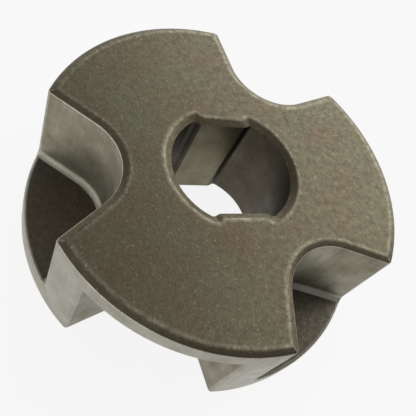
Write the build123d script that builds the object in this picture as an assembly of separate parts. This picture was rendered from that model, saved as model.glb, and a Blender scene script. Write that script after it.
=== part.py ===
"""Drive sprocket of an electric chainsaw, pressed and sintered in one piece from steel powder.

Six gullets take the drive links of the saw chain. They open to the top and to the bottom face in turn, so
that the press can form them, and a thin flange closes the other end of each. The sprocket fits its shaft
either way up.

Frame: +Z up along the shaft, origin on the axis in the bottom face, flats of the bore along X, and the
middle of one upper gullet on -X.
"""
import os
from math import asin, atan2, cos, hypot, radians, sin, tan

from build123d import *

# Driving dimensions, in millimetres

OUTER_DIAMETER = 30.5          # over the tooth tips, where the side links of the chain ride
HEIGHT = 10.1                  # from face to face
FLANGE_THICKNESS = 1.9         # web that closes one end of a gullet

GULLETS_PER_FACE = 3
TOOTH_TIP_WIDTH = 3.25         # of a tooth, along the outer diameter
GULLET_ROOT_REACH = 9.0        # from the axis to the root of a gullet
GULLET_ROOT_RADIUS = 4.45
GULLET_FILLET = 0.5            # where the wall of a gullet meets its flange
MOUTH_ROUND = 0.3              # tumbled edge round the mouth of a gullet

FACE_CHAMFER_WIDTH = 0.5       # low chamfers, as press tools leave them; width lies in the face
FACE_CHAMFER_DEPTH = 0.2

BORE_DIAMETER = 10.3
BORE_ACROSS_FLATS = 8.35       # between the two flat lands that drive the sprocket
LAND_WIDTH = 4.3               # of each flat
LAND_FLARE = 45                # degrees by which the sides of a land lean outwards to the bore
BORE_CHAMFER_WIDTH = 0.6
BORE_CHAMFER_DEPTH = 0.3

# Values that follow from them

outer_radius = OUTER_DIAMETER / 2
rim_height = HEIGHT - 2 * FACE_CHAMFER_DEPTH
gullet_pitch = 360 / GULLETS_PER_FACE
cutter_reach = OUTER_DIAMETER         # the gullet cutters run well past the tooth tips
tolerance = 1e-4                      # for telling faces and edges apart by their place


def gullet_profile():
    """Plan of a gullet about +X: two flanks from the tooth tips, tangent to a round root."""
    root_centre = GULLET_ROOT_REACH + GULLET_ROOT_RADIUS
    half_opening = radians(gullet_pitch / 4) - TOOTH_TIP_WIDTH / 2 / outer_radius
    tip_x = outer_radius * cos(half_opening)
    tip_y = outer_radius * sin(half_opening)
    tip_distance = hypot(tip_x - root_centre, tip_y)
    flank_angle = atan2(tip_y, tip_x - root_centre) - asin(GULLET_ROOT_RADIUS / tip_distance)
    tangent_x = root_centre - GULLET_ROOT_RADIUS * sin(flank_angle)
    tangent_y = GULLET_ROOT_RADIUS * cos(flank_angle)
    mouth_y = tip_y + (cutter_reach - tip_x) * tan(flank_angle)
    outline = [
        Line((cutter_reach, mouth_y), (tangent_x, tangent_y)),
        ThreePointArc((tangent_x, tangent_y), (GULLET_ROOT_REACH, 0), (tangent_x, -tangent_y)),
        Line((tangent_x, -tangent_y), (cutter_reach, -mouth_y)),
        Line((cutter_reach, -mouth_y), (cutter_reach, mouth_y)),
    ]
    return make_face(outline)


def gullet_cutter():
    """What an upper gullet removes: it stands on the flange and runs out past the top face."""
    cutter = Pos(0, 0, FLANGE_THICKNESS) * extrude(gullet_profile(), amount=HEIGHT)
    foot = cutter.faces().sort_by(Axis.Z)[0]
    return fillet(foot.edges(), GULLET_FILLET)


def toothed_disc():
    """The disc with its upper gullets and, half a pitch on, the same gullets from below."""
    disc = Rot(0, 0, gullet_pitch / 4) * extrude(Circle(outer_radius), amount=HEIGHT)
    upper_cutter = gullet_cutter()
    lower_cutter = Pos(0, 0, HEIGHT) * Rot(180, 0, 0) * upper_cutter
    for index in range(GULLETS_PER_FACE):
        disc -= Rot(0, 0, 180 + index * gullet_pitch) * upper_cutter
        disc -= Rot(0, 0, 180 + (index + 0.5) * gullet_pitch) * lower_cutter
    return disc


def is_mouth_edge(edge):
    """True for an edge of a gullet's mouth in the outer diameter, between the chamfers of the two faces."""
    middle = edge.position_at(0.5)
    on_outside = abs(hypot(middle.X, middle.Y) - outer_radius) < tolerance
    between_chamfers = abs(middle.Z - HEIGHT / 2) < rim_height / 2 - tolerance
    is_seam = edge.bounding_box().size.Z > rim_height - tolerance
    return on_outside and between_chamfers and not is_seam


def break_edges(disc):
    """Chamfer the outline of both faces, then round the mouths of the gullets."""
    for end in (0, -1):
        face = disc.faces().sort_by(Axis.Z)[end]
        disc = chamfer(face.edges(), FACE_CHAMFER_WIDTH, FACE_CHAMFER_DEPTH, reference=face)
    return fillet(disc.edges().filter_by(is_mouth_edge), MOUTH_ROUND)


def bore_profile():
    """Round bore with two flat lands along X.

    The lands are narrower than the chord that they cut, so the corners beside them are open and a shaft
    seats on the flats alone.
    """
    radius = BORE_DIAMETER / 2
    flat = BORE_ACROSS_FLATS / 2
    half_foot = LAND_WIDTH / 2 + radius * tan(radians(LAND_FLARE))
    land = make_face(Polyline(
        (-LAND_WIDTH / 2, flat),
        (LAND_WIDTH / 2, flat),
        (half_foot, flat + radius),
        (-half_foot, flat + radius),
        close=True,
    ))
    return Circle(radius) - land - Rot(0, 0, 180) * land


def bore_cutter():
    """The bore through both faces, with a low lead-in chamfer at each end."""
    profile = bore_profile()
    mouth = offset(profile, BORE_CHAMFER_WIDTH, kind=Kind.INTERSECTION)
    lead_in = loft([profile, Pos(0, 0, BORE_CHAMFER_DEPTH) * mouth], ruled=True)
    cutter = extrude(profile, amount=HEIGHT)
    cutter += Pos(0, 0, HEIGHT - BORE_CHAMFER_DEPTH) * lead_in
    cutter += Pos(0, 0, BORE_CHAMFER_DEPTH) * Rot(180, 0, 0) * lead_in
    return cutter


sprocket = break_edges(toothed_disc()) - bore_cutter()

os.makedirs("parts", exist_ok=True)
export_step(sprocket, "parts/drive_sprocket.step")
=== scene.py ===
# %% [markdown]
# # A sintered chainsaw sprocket
#
# The sprocket drives the saw chain. It is pressed from steel powder between punches, sintered and
# tumbled, so it has flat matt faces, straight burnished walls, low chamfers and no edge that is really
# sharp. The CAD model gives its exact form. This lesson adds what the press and the tumbling drum leave
# behind: broken edges, worn borders, a speckled skin, drawn walls, and the soft light of the photograph.

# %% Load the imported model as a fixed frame
from math import cos, hypot, radians, sin

import bmesh
import bpy
from mathutils import Matrix, Vector


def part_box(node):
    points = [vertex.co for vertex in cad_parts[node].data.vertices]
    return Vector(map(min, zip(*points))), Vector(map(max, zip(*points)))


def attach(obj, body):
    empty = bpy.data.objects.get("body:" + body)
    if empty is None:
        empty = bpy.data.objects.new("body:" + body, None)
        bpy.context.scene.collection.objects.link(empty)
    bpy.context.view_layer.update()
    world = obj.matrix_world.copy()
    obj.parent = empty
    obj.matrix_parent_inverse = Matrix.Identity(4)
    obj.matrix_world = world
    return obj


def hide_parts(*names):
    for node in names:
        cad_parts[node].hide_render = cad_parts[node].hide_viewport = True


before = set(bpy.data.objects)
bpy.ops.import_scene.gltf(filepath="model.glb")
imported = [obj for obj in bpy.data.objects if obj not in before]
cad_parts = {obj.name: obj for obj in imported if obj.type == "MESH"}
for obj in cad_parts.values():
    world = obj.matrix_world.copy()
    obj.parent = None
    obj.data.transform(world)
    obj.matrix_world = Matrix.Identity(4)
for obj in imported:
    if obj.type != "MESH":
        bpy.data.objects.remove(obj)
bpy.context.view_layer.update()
MM = 0.001                         # Blender works in metres
sprocket_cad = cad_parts["drive_sprocket"]
low_corner, high_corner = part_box("drive_sprocket")
height = high_corner.z - low_corner.z
outer_radius = (high_corner.x - low_corner.x) / 2
print("height of the sprocket:", round(height / MM, 2), "mm")
print("radius of the sprocket:", round(outer_radius / MM, 2), "mm")

# %% [markdown]
# ## The camera
#
# A camera could be placed by eye, but a rolled close-up like this one is hard to hit that way. The
# straight edges and round rims of the sprocket were matched to the photograph instead. That gave how high
# the camera stands, how far it is turned and rolled, how close it is, and how wide it sees. Its place is
# measured from the middle of the top face, back along the line of sight and then sideways in the picture.

# %% Stand the camera where the photograph was taken
VIEW_TURN = radians(-42.75)        # about the shaft, from looking along +Y
VIEW_HEIGHT = radians(50.47)       # above the horizon
VIEW_ROLL = radians(36.59)
VIEW_DISTANCE = 43.69 * MM
TARGET_RIGHT = -0.59 * MM          # from the line of sight to the middle of the top face
TARGET_UP = 2.06 * MM
LENS = 47.15                       # for Blender's sensor, 36 wide
FRAME_SHIFT = (-0.0814, -0.0391)   # the photograph is cut off-centre
NEAREST = 1 * MM                   # what is closer to the camera isn't drawn

turn = Matrix.Rotation(VIEW_TURN, 4, "Z")
tilt = Matrix.Rotation(radians(90) - VIEW_HEIGHT, 4, "X")
roll = Matrix.Rotation(VIEW_ROLL, 4, "Z")
camera_axes = turn @ tilt @ roll
top_centre = Vector((0, 0, height))
camera_place = top_centre - camera_axes @ Vector((TARGET_RIGHT, TARGET_UP, -VIEW_DISTANCE))

bpy.ops.object.camera_add()
camera = bpy.context.object
camera.name = "photo_camera"
camera.matrix_world = Matrix.Translation(camera_place) @ camera_axes
camera.data.lens = LENS
camera.data.shift_x, camera.data.shift_y = FRAME_SHIFT
camera.data.clip_start = NEAREST
bpy.context.scene.camera = camera
print("the camera is", round((camera_place - top_centre).length / MM, 1), "mm from the top face")

# %% [markdown]
# ## One skin from many patches
#
# The body of the sprocket is one piece of steel. It could be modelled again from a cylinder, but the CAD
# mesh already has its exact form, so a copy of that mesh is dressed here, and the original stays as it
# is. The mesh is a set of separate patches, one for each face of the solid. Their borders are marked as
# seams before the patches are merged into one skin, because afterwards the seams still tell where the
# real edges run.

# %% Copy the solid and merge its patches
MERGE_DISTANCE = 0.001 * MM

bpy.ops.object.select_all(action="DESELECT")
sprocket = bpy.data.objects.new("sprocket_body", sprocket_cad.data.copy())
bpy.context.scene.collection.objects.link(sprocket)
bpy.context.view_layer.objects.active = sprocket
sprocket.select_set(True)
bpy.ops.mesh.customdata_custom_splitnormals_clear()

bpy.ops.object.mode_set(mode="EDIT")
bpy.ops.mesh.select_mode(type="EDGE")
bpy.ops.mesh.select_all(action="DESELECT")
bpy.ops.mesh.select_non_manifold(extend=False)
bpy.ops.mesh.mark_seam()
bpy.ops.mesh.select_all(action="SELECT")
bpy.ops.mesh.remove_doubles(threshold=MERGE_DISTANCE)
bpy.ops.object.mode_set(mode="OBJECT")
print("the skin has", len(sprocket.data.vertices), "points and", len(sprocket.data.polygons), "triangles")

# %% [markdown]
# ## Clean borders
#
# The edges of the sprocket will be bevelled, and a bevel needs clean borders to run along. The steps of
# each tooth's small corners are shorter than the bevel is wide, and would fold it over. The whole mesh
# could be remeshed evenly, but that would blur its exact edges. So only the tiny steps are merged. Then
# the flat faces are dissolved, which removes the triangles that the CAD export cut them into.

# %% Merge the tiny steps and dissolve the flat faces
EDGE_ANGLE = radians(15)           # a seam that turns less is a smooth joint of two patches
EDGE_BREAK = 0.06 * MM             # width of the bevel on most edges
SHORT_EDGE = 2 * EDGE_BREAK
FLAT_ANGLE = radians(0.3)


def real_edges(mesh):
    """Seams of an edit mesh that turn a real corner."""
    seams = [edge for edge in mesh.edges if edge.seam and len(edge.link_faces) == 2]
    return [edge for edge in seams if edge.calc_face_angle() > EDGE_ANGLE]


bpy.ops.object.mode_set(mode="EDIT")
bpy.ops.mesh.select_all(action="DESELECT")
edit_mesh = bmesh.from_edit_mesh(sprocket.data)
for edge in real_edges(edit_mesh):
    if edge.calc_length() < SHORT_EDGE:
        edge.select_set(True)
bpy.ops.mesh.remove_doubles(threshold=SHORT_EDGE)
bpy.ops.mesh.select_all(action="SELECT")
bpy.ops.mesh.dissolve_limited(angle_limit=FLAT_ANGLE, delimit={"SEAM"})
bpy.ops.object.mode_set(mode="OBJECT")
print("the clean skin has", len(sprocket.data.polygons), "faces")

# %% [markdown]
# ## Soft corners in the bore
#
# A core rod with sharp corners would crack, so the corners beside the lands are rounded on the real
# sprocket, all the way from one mouth of the bore to the other. Smooth shading alone would smear the
# light over the whole land, so the edges that stand in these corners are bevelled. A bevel slides along
# the edges that it meets, so the triangles beside it are first joined to clean quads. It leaves no seams
# of its own, so the level edges round the bore are marked again afterwards.

# %% Join the triangles of the bore to quads
BORE_ZONE = 6.2 * MM               # from the axis, chamfer included
QUAD_ANGLE = radians(10)           # triangles that turn more against each other stay apart
ANY_SHAPE = radians(180)           # however long and slanted a quad becomes


def is_in_bore(part):
    """True for an edge or a face of the bore or of its chamfers."""
    return max(hypot(vertex.co.x, vertex.co.y) for vertex in part.verts) < BORE_ZONE


bpy.ops.object.mode_set(mode="EDIT")
bpy.ops.mesh.select_mode(type="FACE")
bpy.ops.mesh.select_all(action="DESELECT")
edit_mesh = bmesh.from_edit_mesh(sprocket.data)
for face in edit_mesh.faces:
    face.select_set(is_in_bore(face))
bpy.ops.mesh.tris_convert_to_quads(face_threshold=QUAD_ANGLE, shape_threshold=ANY_SHAPE, seam=True)
edit_mesh = bmesh.from_edit_mesh(sprocket.data)
triangles_left = [face for face in edit_mesh.faces if is_in_bore(face) and len(face.verts) == 3]
print("triangles left in the bore:", len(triangles_left))
bpy.ops.object.mode_set(mode="OBJECT")

# %% Round the corners of the bore
CORNER_ROUND = 0.22 * MM
CORNER_STEPS = 5
LEVEL_SLOPE = 0.3                  # rise over length, up to which an edge counts as level


def is_level(edge):
    """True for an edge that about keeps its height."""
    rise = abs(edge.verts[0].co.z - edge.verts[1].co.z)
    return rise < LEVEL_SLOPE * edge.calc_length()


bpy.ops.object.mode_set(mode="EDIT")
bpy.ops.mesh.select_mode(type="EDGE")
bpy.ops.mesh.select_all(action="DESELECT")
edit_mesh = bmesh.from_edit_mesh(sprocket.data)
for edge in real_edges(edit_mesh):
    edge.select_set(is_in_bore(edge) and not is_level(edge))
print("edges in the corners of the bore:", sum(edge.select for edge in edit_mesh.edges))
bpy.ops.mesh.bevel(offset=CORNER_ROUND, segments=CORNER_STEPS)
edit_mesh = bmesh.from_edit_mesh(sprocket.data)
for edge in edit_mesh.edges:
    if is_in_bore(edge) and is_level(edge) and edge.calc_face_angle() > EDGE_ANGLE:
        edge.seam = True
bpy.ops.object.mode_set(mode="OBJECT")

# %% [markdown]
# ## A worn border on the punch faces
#
# In the drum, the parts rub each other brightest along the borders of their flat faces. A paler line
# could be painted by a texture, but nothing in a texture knows where the border is. So the flat faces get
# an inset ring as wide as the wear. Later each point of its outer side will say that it is worn, each
# point of its inner side that it is not, and the finish will fade between them.

# %% Inset the two punch faces
WEAR_WIDTH = 0.35 * MM
LEVEL_TOLERANCE = 0.001 * MM       # from the height of a punch face

bpy.ops.object.mode_set(mode="EDIT")
bpy.ops.mesh.select_mode(type="FACE")
bpy.ops.mesh.select_all(action="DESELECT")
edit_mesh = bmesh.from_edit_mesh(sprocket.data)
for face in edit_mesh.faces:
    highest = max(vertex.co.z for vertex in face.verts)
    lowest = min(vertex.co.z for vertex in face.verts)
    if highest < LEVEL_TOLERANCE or lowest > height - LEVEL_TOLERANCE:
        face.select_set(True)
bpy.ops.mesh.inset(thickness=WEAR_WIDTH)
bpy.ops.object.mode_set(mode="OBJECT")
print("with worn borders it has", len(sprocket.data.polygons), "faces")

# %% [markdown]
# ## Broken edges
#
# Tumbling leaves a small round on every edge, and it catches the light as a thin bright line. A Bevel
# node in the material could fake it, but the mesh itself would keep its sharp edges, so these rounds
# are real. The sprocket first gets one empty material slot for each of its finishes, so that the new
# faces of a bevel go straight into their own slot. The lips between the punch faces and their chamfers
# wear most, and the bevel operator rounds them. A Bevel modifier then breaks the other edges about half as
# wide, steered by a weight on each of them. It leaves out the bore, which the drum hardly reaches.

# %% Make an empty slot for each finish
FINISHES = ["punch_face", "chamfer", "bore_chamfer", "gullet_floor", "gullet_fillet_painted_highlight", "gullet_wall", "rim",
            "bore_land", "bore_round_painted_shade", "bore_corner_painted_shade", "face_edge", "worn_edge"]

sprocket.data.materials.clear()
for finish in FINISHES:
    sprocket.data.materials.append(None)
print("slots for finishes:", len(sprocket.data.materials))

# %% Round the lips of the punch faces
LIP_ROUND = 0.11 * MM
EDGE_STEPS = 3

bpy.ops.object.mode_set(mode="EDIT")
bpy.ops.mesh.select_mode(type="EDGE")
bpy.ops.mesh.select_all(action="DESELECT")
edit_mesh = bmesh.from_edit_mesh(sprocket.data)
for edge in real_edges(edit_mesh):
    depths = [min(vertex.co.z, height - vertex.co.z) for vertex in edge.verts]
    edge.select_set(max(depths) < LEVEL_TOLERANCE)
print("edges in the lips:", sum(edge.select for edge in edit_mesh.edges))
bpy.ops.mesh.bevel(offset=LIP_ROUND, segments=EDGE_STEPS, material=FINISHES.index("face_edge"))
bpy.ops.object.mode_set(mode="OBJECT")

# %% Break the other edges
SMOOTH_ANGLE = radians(35)

bpy.ops.object.mode_set(mode="EDIT")
edit_mesh = bmesh.from_edit_mesh(sprocket.data)
weights = edit_mesh.edges.layers.float.new("bevel_weight_edge")
other_edges = [edge for edge in real_edges(edit_mesh) if not is_in_bore(edge)]
for edge in other_edges:
    edge[weights] = 1
print("other edges to break:", len(other_edges))
bpy.ops.object.mode_set(mode="OBJECT")

edge_break = sprocket.modifiers.new("edge_break", "BEVEL")
edge_break.limit_method = "WEIGHT"
edge_break.width = EDGE_BREAK
edge_break.segments = EDGE_STEPS
edge_break.use_clamp_overlap = False
edge_break.material = FINISHES.index("worn_edge")
bpy.ops.object.modifier_apply(modifier=edge_break.name)

bpy.ops.object.mode_set(mode="EDIT")
bpy.ops.mesh.select_all(action="SELECT")
bpy.ops.mesh.remove_doubles(threshold=MERGE_DISTANCE)
bpy.ops.object.mode_set(mode="OBJECT")
bpy.ops.object.shade_smooth_by_angle(angle=SMOOTH_ANGLE)
print("with broken edges it has", len(sprocket.data.polygons), "faces")

# %% [markdown]
# ## Which finish goes where
#
# The press decides how most surfaces look. The punches leave matt faces, chamfers and gullet floors. The
# die and the core rod drag along the rim, the gullet walls and the bore as the part is pushed out. The
# round of the bore and, darkest, its corners are painted darker as shade, and the fillets of the gullets
# paler as a painted highlight. The faces could be picked by hand, but there are thousands of them. So each
# face of the mesh finds its finish from its own direction and its place: how far it is from the axis and
# from the nearer end.

# %% Tell the finish of a face
FLAT = 0.99                        # part of a normal along Z, for a level face, and along Y, for a land
STEEP = 0.5                        # along Z, for a chamfer
LEANING = 0.05                     # along Z, for a fillet
FACING = 0.995                     # towards the axis, for the round of the bore
CHAMFER_ZONE = 0.5 * MM            # from either end
LAND_ZONE = 4.25 * MM              # from the axis, across the flats
RIM_ZONE = 0.31 * MM               # from the outer radius, mouth rounds of the gullets included


def finish_of(face):
    """Name of the finish that a face of the sprocket has."""
    reach = hypot(face.center.x, face.center.y)
    to_end = min(face.center.z, height - face.center.z)
    upright = abs(face.normal.z)
    if upright > FLAT:
        return "punch_face" if to_end < LEVEL_TOLERANCE else "gullet_floor"
    if upright > STEEP and to_end < CHAMFER_ZONE:
        return "bore_chamfer" if reach < BORE_ZONE else "chamfer"
    if abs(face.normal.y) > FLAT and abs(face.center.y) < LAND_ZONE and reach < BORE_ZONE:
        return "bore_land"
    if reach < BORE_ZONE:
        inwards = -(face.normal.x * face.center.x + face.normal.y * face.center.y) / reach
        return "bore_round_painted_shade" if inwards > FACING else "bore_corner_painted_shade"
    if reach > outer_radius - RIM_ZONE:
        return "rim"
    return "gullet_fillet_painted_highlight" if upright > LEANING else "gullet_wall"


print("the first face is", finish_of(sprocket.data.polygons[0]))

# %% Sort the faces by finish and mark the worn points
LIP_DEPTH = 0.05 * MM              # below its punch face, where the wear of a lip ends

wear = sprocket.data.attributes.new("edge_wear", "FLOAT", "POINT")
face_count = dict.fromkeys(FINISHES, 0)
for face in sprocket.data.polygons:
    if FINISHES[face.material_index] not in ("face_edge", "worn_edge"):
        face.material_index = FINISHES.index(finish_of(face))
    if FINISHES[face.material_index] == "face_edge":
        for point in face.vertices:
            level = sprocket.data.vertices[point].co.z
            depth = min(level, height - level)
            wear.data[point].value = max(0, 1 - depth / LIP_DEPTH)
    face_count[FINISHES[face.material_index]] += 1
print("faces by finish:", face_count)

# %% [markdown]
# ## Helpers for all finishes
#
# Every finish below is a small tree of nodes. One function adds a node, sets its properties, and then
# sets or links its inputs, so a material reads from top to bottom like a recipe. Inputs go by their
# names. A Mix node has several inputs of one name, so those go by number, and the numbers are named here.
# Colours are written as the hex values that a colour picker shows, and one function turns them into the
# linear values that Blender mixes.

# %% Helpers for nodes and colours
FACTOR = 0                         # inputs of a Mix node
VALUE_A = 2
VALUE_B = 3
COLOUR_A = 6
COLOUR_B = 7
MIXED_COLOUR = 2                   # and its output


def linear(hex_colour):
    """Linear RGBA of an sRGB colour such as "8a8672", by the curve of the sRGB standard."""
    channels = [int(hex_colour[i:i + 2], 16) / 255 for i in (0, 2, 4)]
    curved = [c / 12.92 if c <= 0.04045 else ((c + 0.055) / 1.055) ** 2.4 for c in channels]
    return (*curved, 1)


def add_node(tree, kind, inputs, **settings):
    """Add a node with its settings; each input is a value to set or another node's output to link."""
    node = tree.nodes.new(kind)
    for setting, value in settings.items():
        setattr(node, setting, value)
    for socket, value in inputs.items():
        if isinstance(value, bpy.types.NodeSocket):
            tree.links.new(value, node.inputs[socket])
        else:
            node.inputs[socket].default_value = value
    return node


def new_material(name):
    """An empty material and its node tree."""
    material = bpy.data.materials.new(name)
    material.use_nodes = True
    material.node_tree.nodes.clear()
    return material, material.node_tree


print("the grey 808080 is", round(linear("808080")[0], 3), "in linear light")

# %% [markdown]
# ## Pressed and sintered steel
#
# The punch faces show the powder itself. Its grains, a tenth of a millimetre across, are pressed flat and
# bonded, and a thin oxide tints the steel brown here and olive there. To the eye that is a matt metal
# with a fine salt-and-pepper speckle over a soft cloudy tone. A picture of such steel could be laid on
# it, but that would bring the light of another room, so noise at the sizes of the real pattern makes the
# finish. The tint comes first. Noise some millimetres wide mixes its brown and olive. Where the points of
# the mesh say that they are worn, the oxide is rubbed off in patches, and paler steel shows.

# %% Tint of the oxide and of the worn borders
CLOUD = 5 * MM
SOFT_DETAIL = 2                    # finer layers in a plain noise
NOISE_MIDDLE = 0.5                 # noise wavers about this value
CLOUD_SPREAD = 0.15                # from there to all brown or all olive
RUB_SPREAD = 0.2                   # and to the most or the least rubbing
LEAST_RUBBING = 0.35               # share of the wear


def steel_tint(tree, place, mottle, brown, olive, worn):
    """Colour of pressed steel before its speckle, paler where the attribute edge_wear says so."""
    cloud = add_node(tree, "ShaderNodeTexNoise", {
        "Vector": place, "Scale": 1 / CLOUD, "Detail": SOFT_DETAIL})
    brown_share = add_node(tree, "ShaderNodeMapRange", {
        "Value": cloud.outputs["Fac"],
        "From Min": NOISE_MIDDLE - CLOUD_SPREAD, "From Max": NOISE_MIDDLE + CLOUD_SPREAD})
    tint = add_node(tree, "ShaderNodeMix", {
        FACTOR: brown_share.outputs[0], COLOUR_A: linear(olive), COLOUR_B: linear(brown)}, data_type="RGBA")
    wear_here = add_node(tree, "ShaderNodeAttribute", {}, attribute_name="edge_wear")
    rubbing = add_node(tree, "ShaderNodeMapRange", {
        "Value": mottle, "From Min": NOISE_MIDDLE - RUB_SPREAD, "From Max": NOISE_MIDDLE + RUB_SPREAD,
        "To Min": LEAST_RUBBING, "To Max": 1})
    patchy = add_node(tree, "ShaderNodeMath", {
        0: wear_here.outputs["Fac"], 1: rubbing.outputs[0]}, operation="MULTIPLY")
    bared = add_node(tree, "ShaderNodeMix", {
        FACTOR: patchy.outputs[0], COLOUR_A: tint.outputs[MIXED_COLOUR], COLOUR_B: linear(worn),
    }, data_type="RGBA")
    return bared.outputs[MIXED_COLOUR]


print("clouds of tint are", round(CLOUD / MM, 2), "mm wide")

# %% [markdown]
# ### Speckle
#
# The speckle is a factor on the tint. Noise at the size of the grains and noise a few grains wide waver
# about one. Here and there a single grain lies so that it glints, and these glints are painted into the
# colour. One more noise could not set such grains apart, so a Voronoi texture cuts the surface into cells
# and draws a lot for each, and the few cells with the highest lots are painted paler in their middle. All
# of this is drawn about twice as coarse as it is, because true grains would be too fine to show.

# %% Speckle of the grains
SPECKLE_MIDDLE = 2 * NOISE_MIDDLE  # of two noises added
SPECKLE_SPREAD = 0.3
BRIGHT_GRAIN = 0.2 * MM            # about twice the real size, which would be too fine to show
BRIGHT_SHARE = 0.15                # of all grains
PAINTED_GLINT_GAIN = 0.8                  # added to the factor in the middle of the brightest
BRIGHT_CORE = 0.2                  # from the middle of a cell, in cells: full gain inside
BRIGHT_END = 0.5                   # and none outside


def grain_speckle(tree, place, mottle, grain, speckle):
    """Factor on the tint: darker and paler grains, and a few painted glints."""
    both = add_node(tree, "ShaderNodeMath", {0: grain, 1: mottle}, operation="ADD")
    tone = add_node(tree, "ShaderNodeMapRange", {
        "Value": both.outputs[0],
        "From Min": SPECKLE_MIDDLE - SPECKLE_SPREAD, "From Max": SPECKLE_MIDDLE + SPECKLE_SPREAD,
        "To Min": 1 - speckle, "To Max": 1 + speckle})
    cells = add_node(tree, "ShaderNodeTexVoronoi", {"Vector": place, "Scale": 1 / BRIGHT_GRAIN})
    lot = add_node(tree, "ShaderNodeSeparateColor", {"Color": cells.outputs["Color"]})
    shine = add_node(tree, "ShaderNodeMapRange", {
        "Value": lot.outputs[0], "From Min": 1 - BRIGHT_SHARE, "From Max": 1})
    gain = add_node(tree, "ShaderNodeMapRange", {
        "Value": cells.outputs["Distance"], "From Min": BRIGHT_CORE, "From Max": BRIGHT_END,
        "To Min": PAINTED_GLINT_GAIN, "To Max": 0})
    # painted glints: the chosen cells are made paler in their middle, as if they caught the light
    bright = add_node(tree, "ShaderNodeMath", {
        0: shine.outputs[0], 1: gain.outputs[0], 2: tone.outputs[0]}, operation="MULTIPLY_ADD")
    return bright.outputs[0]


print("bright grains are", round(BRIGHT_GRAIN / MM, 2), "mm wide")

# %% [markdown]
# ### Tint, speckle and bump together
#
# The tint times the speckle is the colour of a metal. The mottle also wavers its roughness, because
# pressed powder is denser here than there, and the grain gives it a slight bump, so that a highlight
# breaks up as it does on the real face. Displacing the mesh by so little would need millions of faces,
# and a bump needs none.

# %% Finish of the punch faces, chamfers and gullet floors
GRAIN = 0.17 * MM                  # drawn coarser than real, like the bright grains
MOTTLE = 0.5 * MM
MOTTLE_DETAIL = 3
GLOSS_SPREAD = 0.25                # of the mottle, over which the roughness changes
GLOSS_CHANGE = 0.06
GRAIN_RELIEF = 0.02 * MM
GRAIN_BUMP = 0.7


def pressed_steel(name, brown, olive, worn, roughness, speckle):
    """Sintered steel as a punch leaves it."""
    material, tree = new_material(name)
    place = add_node(tree, "ShaderNodeTexCoord", {}).outputs["Object"]
    mottle = add_node(tree, "ShaderNodeTexNoise", {
        "Vector": place, "Scale": 1 / MOTTLE, "Detail": MOTTLE_DETAIL}).outputs["Fac"]
    grain = add_node(tree, "ShaderNodeTexNoise", {
        "Vector": place, "Scale": 1 / GRAIN, "Detail": SOFT_DETAIL}).outputs["Fac"]
    tint = steel_tint(tree, place, mottle, brown, olive, worn)
    factor = grain_speckle(tree, place, mottle, grain, speckle)
    colour = add_node(tree, "ShaderNodeVectorMath", {0: tint, "Scale": factor}, operation="SCALE")
    gloss = add_node(tree, "ShaderNodeMapRange", {
        "Value": mottle, "From Min": NOISE_MIDDLE - GLOSS_SPREAD, "From Max": NOISE_MIDDLE + GLOSS_SPREAD,
        "To Min": roughness + GLOSS_CHANGE, "To Max": roughness - GLOSS_CHANGE})
    bump = add_node(tree, "ShaderNodeBump", {
        "Height": grain, "Strength": GRAIN_BUMP, "Distance": GRAIN_RELIEF})
    skin = add_node(tree, "ShaderNodeBsdfPrincipled", {
        "Base Color": colour.outputs[0], "Metallic": 1.0,
        "Roughness": gloss.outputs[0], "Normal": bump.outputs[0]})
    add_node(tree, "ShaderNodeOutputMaterial", {"Surface": skin.outputs[0]})
    return material


print("grains are drawn", round(GRAIN / MM, 2), "mm wide, and the mottle", round(MOTTLE / MM, 2), "mm")

# %% [markdown]
# ## Drawn steel
#
# Walls that slid along the die or the core rod as the part was pushed out are smoother and paler than the
# faces. To the eye they are soft patches, where they were pressed against the die more or less, with
# faint streaks along the shaft. Streaks could be cut into the mesh, but they are too shallow to show in
# its outline. So noise that is stretched along Z draws them: it wavers every third of a millimetre round
# the wall, and only every few millimetres along it. Real drag marks are much finer, and are drawn this
# coarse to show at all.

# %% Finish of the rim, the gullet walls and the bore
STREAK_WIDTH = 0.3 * MM            # coarser than real drag marks, which would not show
STREAK_LENGTH = 5 * MM
STREAK_SHARE = 0.2                 # of streaks in the pattern; the rest is patches
PATCH = 2 * MM
PATCH_DETAIL = 5
PATCH_CRISPNESS = 0.6              # how much the finer layers of the patches count
PALE_SPREAD = 0.2                  # from the middle of the pattern to all pale or all dark
WALL_GLOSS_CHANGE = 0.05
WALL_RELIEF = 0.01 * MM
WALL_BUMP = 0.5


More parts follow.
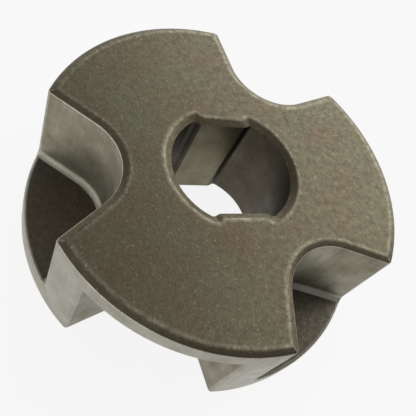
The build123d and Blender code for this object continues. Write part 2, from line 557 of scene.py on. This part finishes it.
def drawn_steel(name, dark, pale, roughness):
    """Sintered steel that was dragged along the die."""
    material, tree = new_material(name)
    place = add_node(tree, "ShaderNodeTexCoord", {}).outputs["Object"]
    stretched = add_node(tree, "ShaderNodeMapping", {
        "Vector": place, "Scale": (1 / STREAK_WIDTH, 1 / STREAK_WIDTH, 1 / STREAK_LENGTH)})
    streaks = add_node(tree, "ShaderNodeTexNoise", {
        "Vector": stretched.outputs[0], "Scale": 1, "Detail": SOFT_DETAIL})
    patches = add_node(tree, "ShaderNodeTexNoise", {
        "Vector": place, "Scale": 1 / PATCH, "Detail": PATCH_DETAIL, "Roughness": PATCH_CRISPNESS})
    grain = add_node(tree, "ShaderNodeTexNoise", {
        "Vector": place, "Scale": 1 / GRAIN, "Detail": SOFT_DETAIL})
    both = add_node(tree, "ShaderNodeMix", {
        FACTOR: STREAK_SHARE, VALUE_A: patches.outputs["Fac"], VALUE_B: streaks.outputs["Fac"]})
    pale_share = add_node(tree, "ShaderNodeMapRange", {
        "Value": both.outputs[0],
        "From Min": NOISE_MIDDLE - PALE_SPREAD, "From Max": NOISE_MIDDLE + PALE_SPREAD})
    colour = add_node(tree, "ShaderNodeMix", {
        FACTOR: pale_share.outputs[0], COLOUR_A: linear(dark), COLOUR_B: linear(pale)}, data_type="RGBA")
    gloss = add_node(tree, "ShaderNodeMapRange", {
        "Value": pale_share.outputs[0],
        "To Min": roughness + WALL_GLOSS_CHANGE, "To Max": roughness - WALL_GLOSS_CHANGE})
    bump = add_node(tree, "ShaderNodeBump", {
        "Height": grain.outputs["Fac"], "Strength": WALL_BUMP, "Distance": WALL_RELIEF})
    skin = add_node(tree, "ShaderNodeBsdfPrincipled", {
        "Base Color": colour.outputs[MIXED_COLOUR], "Metallic": 1.0,
        "Roughness": gloss.outputs[0], "Normal": bump.outputs[0]})
    add_node(tree, "ShaderNodeOutputMaterial", {"Surface": skin.outputs[0]})
    return material


print("streaks are drawn", round(STREAK_WIDTH / MM, 2), "mm wide, and patches", round(PATCH / MM, 2), "mm")

# %% [markdown]
# ## Twelve finishes of one steel
#
# The sprocket is one steel all over, but each of its surfaces was pressed, dragged or rubbed in its own
# way. One material with masks could hold all of that. A slot for each surface is easier to match to the
# photograph, and to change later. The colours are those of the metal's reflection, so they are paler than
# the surface looks where it mirrors something dim.
# Three finishes also hold painted light: painted shade in the round and the corners of the bore, and a
# painted highlight on the fillets of the gullets.

# %% Finishes that the punches leave
pressed_finishes = {
    # Flat faces: matt and speckled, between brown and olive, with a paler worn border
    "punch_face": pressed_steel(
        "sintered_steel_pressed_face",
        brown="6c6150", olive="6a6754", worn="8c8876", roughness=0.38, speckle=0.2),
    # Lips of the faces: the same skin, with most of the pale wear
    "face_edge": pressed_steel(
        "sintered_steel_pressed_lip",
        brown="6b6251", olive="6a6552", worn="8b8774", roughness=0.4, speckle=0.25),
    # Low chamfers round the faces: a little rougher, with softer highlights
    "chamfer": pressed_steel(
        "sintered_steel_pressed_chamfer",
        brown="6f6653", olive="6f6956", worn="706957", roughness=0.42, speckle=0.2),
    # Chamfers of the bore: darker than the chamfers round the faces
    "bore_chamfer": pressed_steel(
        "sintered_steel_bore_chamfer",
        brown="5d5545", olive="5d5747", worn="5d5747", roughness=0.42, speckle=0.2),
    # Gullet floors: a little darker than the faces, dull and rough
    "gullet_floor": pressed_steel(
        "sintered_steel_gullet_floor",
        brown="625b4e", olive="625e53", worn="645f53", roughness=0.48, speckle=0.2),
}
print("pressed finishes:", len(pressed_finishes))

# %% Finishes that the die, the core rod and the drum leave
drawn_finishes = {
    # Fillets of the gullets: a painted highlight, paler than the rim, and so rough that they shine softly
    # from all sides
    "gullet_fillet_painted_highlight": drawn_steel(
        "sintered_steel_gullet_fillet", dark="b0ad9f", pale="c4c1b4", roughness=0.7),
    # Gullet walls: grey patches with a dull sheen
    "gullet_wall": drawn_steel(
        "sintered_steel_drawn_wall", dark="77725f", pale="9f9b8b", roughness=0.53),
    # Rim: burnished most by the die, so it is pale and has a clear sheen
    "rim": drawn_steel(
        "sintered_steel_drawn_rim", dark="938d7d", pale="aeaba0", roughness=0.42),
    # Lands of the bore: olive, with a sheen from the core rod
    "bore_land": drawn_steel(
        "sintered_steel_bore_land", dark="6b664f", pale="837e68", roughness=0.45),
    # Round of the bore: as smooth and brown, and painted darker than the lands as shade inside the bore
    "bore_round_painted_shade": drawn_steel(
        "sintered_steel_bore_round", dark="4c473c", pale="5f594c", roughness=0.45),
    # Corners of the bore: the darkest steel, a painted shade in the corners beside the lands
    "bore_corner_painted_shade": drawn_steel(
        "sintered_steel_bore_corner", dark="45403a", pale="524d43", roughness=0.5),
    # Broken edges: bare steel, which draws a thin bright line
    "worn_edge": drawn_steel(
        "sintered_steel_worn_edge", dark="8f8b7c", pale="c4c1b3", roughness=0.4),
}
print("drawn finishes:", len(drawn_finishes))

# %% Give each slot its finish
all_finishes = pressed_finishes | drawn_finishes
for index, finish in enumerate(FINISHES):
    sprocket.data.materials[index] = all_finishes[finish]
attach(sprocket, "root")
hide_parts("drive_sprocket")
print("finishes:", ", ".join(material.name for material in sprocket.data.materials))

# %% [markdown]
# ## The paper
#
# The sprocket lies on white paper. More light could make the paper white, but it would bleach the metal
# too. So most of the paper's tone is a fixed white, for the camera and for what the metal mirrors. The
# rest is a plain matt white that the room lights, and it keeps the sprocket's shadow.

# %% Lay white paper under the sprocket
PAPER_SIZE = 4.0                   # metres, so that its edge is far away in every view
PAPER_GAP = 0.01 * MM              # below the sprocket
FIXED_WHITE = 0.88                 # share of the paper's tone

bpy.ops.object.select_all(action="DESELECT")
bpy.ops.mesh.primitive_plane_add(size=PAPER_SIZE, location=(0, 0, -PAPER_GAP))
paper = bpy.context.object
paper.name = "studio_paper"
white, tree = new_material("matt_white_paper")
rays = add_node(tree, "ShaderNodeLightPath", {})
direct = add_node(tree, "ShaderNodeMath", {
    0: rays.outputs["Is Camera Ray"], 1: rays.outputs["Is Glossy Ray"]}, operation="MAXIMUM")
seen = add_node(tree, "ShaderNodeMath", {
    0: direct.outputs[0], 1: rays.outputs["Is Transmission Ray"]}, operation="MAXIMUM")
share = add_node(tree, "ShaderNodeMath", {0: seen.outputs[0], 1: FIXED_WHITE}, operation="MULTIPLY")
matt = add_node(tree, "ShaderNodeBsdfDiffuse", {"Color": linear("f4f4f2")})
fixed = add_node(tree, "ShaderNodeEmission", {"Color": linear("ffffff"), "Strength": 1.0})
mixed = add_node(tree, "ShaderNodeMixShader", {0: share.outputs[0], 1: matt.outputs[0], 2: fixed.outputs[0]})
add_node(tree, "ShaderNodeOutputMaterial", {"Surface": mixed.outputs[0]})
paper.data.materials.append(white)
print("the paper is", paper.dimensions.x, "m wide")

# %% [markdown]
# ## The light
#
# Metal shows its surroundings, so the light here is a whole room. It could be built from glowing planes,
# but they would show in other views and add noise. The world can be such a room by itself: bright walls
# all round, and soft round cards in front of them that dim or brighten what lies behind. The ceiling is
# dim, a dark card stands on each side, and one soft lamp hangs on the right. Where the top face mirrors
# the far wall it is pale, and where it mirrors the ceiling it is dark, which gives the long fade across
# it. The camera itself sees plain white behind the paper.

# %% Hang the cards in a bright tent
WALL_LIGHT = 1.98                  # strength, where 1 would show as white
CARDS = {                          # height, turn, inner and outer edge in degrees, factor on the light
    "dim ceiling": (72, 60, 45, 58, 0.16),
    "left card": (15, 110, 32, 47, 0.4),
    "right card": (8, -75, 52, 76, 0.07),
    "right lamp": (65, -95, 12, 34, 3.0),
}


def card_direction(card_height, card_turn):
    """Direction to the middle of a card, given by its height and its turn to the left of the camera."""
    level_part = cos(radians(card_height))
    to_left = level_part * sin(radians(card_turn))
    to_camera = level_part * cos(radians(card_turn))
    return turn.to_3x3() @ Vector((-to_left, -to_camera, sin(radians(card_height))))


world = bpy.data.worlds.new("light_tent")
bpy.context.scene.world = world
world.use_nodes = True
tree = world.node_tree
tree.nodes.clear()
direction = add_node(tree, "ShaderNodeTexCoord", {}).outputs["Generated"]
light = WALL_LIGHT
for card_height, card_turn, inner, outer, factor in CARDS.values():
    nearness = add_node(tree, "ShaderNodeVectorMath", {
        0: direction, 1: card_direction(card_height, card_turn)}, operation="DOT_PRODUCT")
    change = add_node(tree, "ShaderNodeMapRange", {
        "Value": nearness.outputs["Value"], "From Min": cos(radians(outer)), "From Max": cos(radians(inner)),
        "To Min": 1, "To Max": factor}, interpolation_type="SMOOTHSTEP")
    changed = add_node(tree, "ShaderNodeMath", {0: light, 1: change.outputs[0]}, operation="MULTIPLY")
    light = changed.outputs[0]
tent = add_node(tree, "ShaderNodeBackground", {"Color": linear("ffffff"), "Strength": light})
backdrop = add_node(tree, "ShaderNodeBackground", {"Color": linear("ffffff"), "Strength": 1.0})
rays = add_node(tree, "ShaderNodeLightPath", {})
mixed = add_node(tree, "ShaderNodeMixShader", {
    0: rays.outputs["Is Camera Ray"], 1: tent.outputs[0], 2: backdrop.outputs[0]})
add_node(tree, "ShaderNodeOutputWorld", {"Surface": mixed.outputs[0]})
print("the walls give", WALL_LIGHT, "and these change it:", ", ".join(CARDS))

# %% [markdown]
# ## The view
#
# The Standard view shows colours as they are written; another view would lay a film look over them. The
# bevels leave the outermost points of the sprocket where they were, so it has to fill the same box as the
# CAD model.

# %% Show colours as they are written
bpy.context.scene.view_settings.view_transform = "Standard"
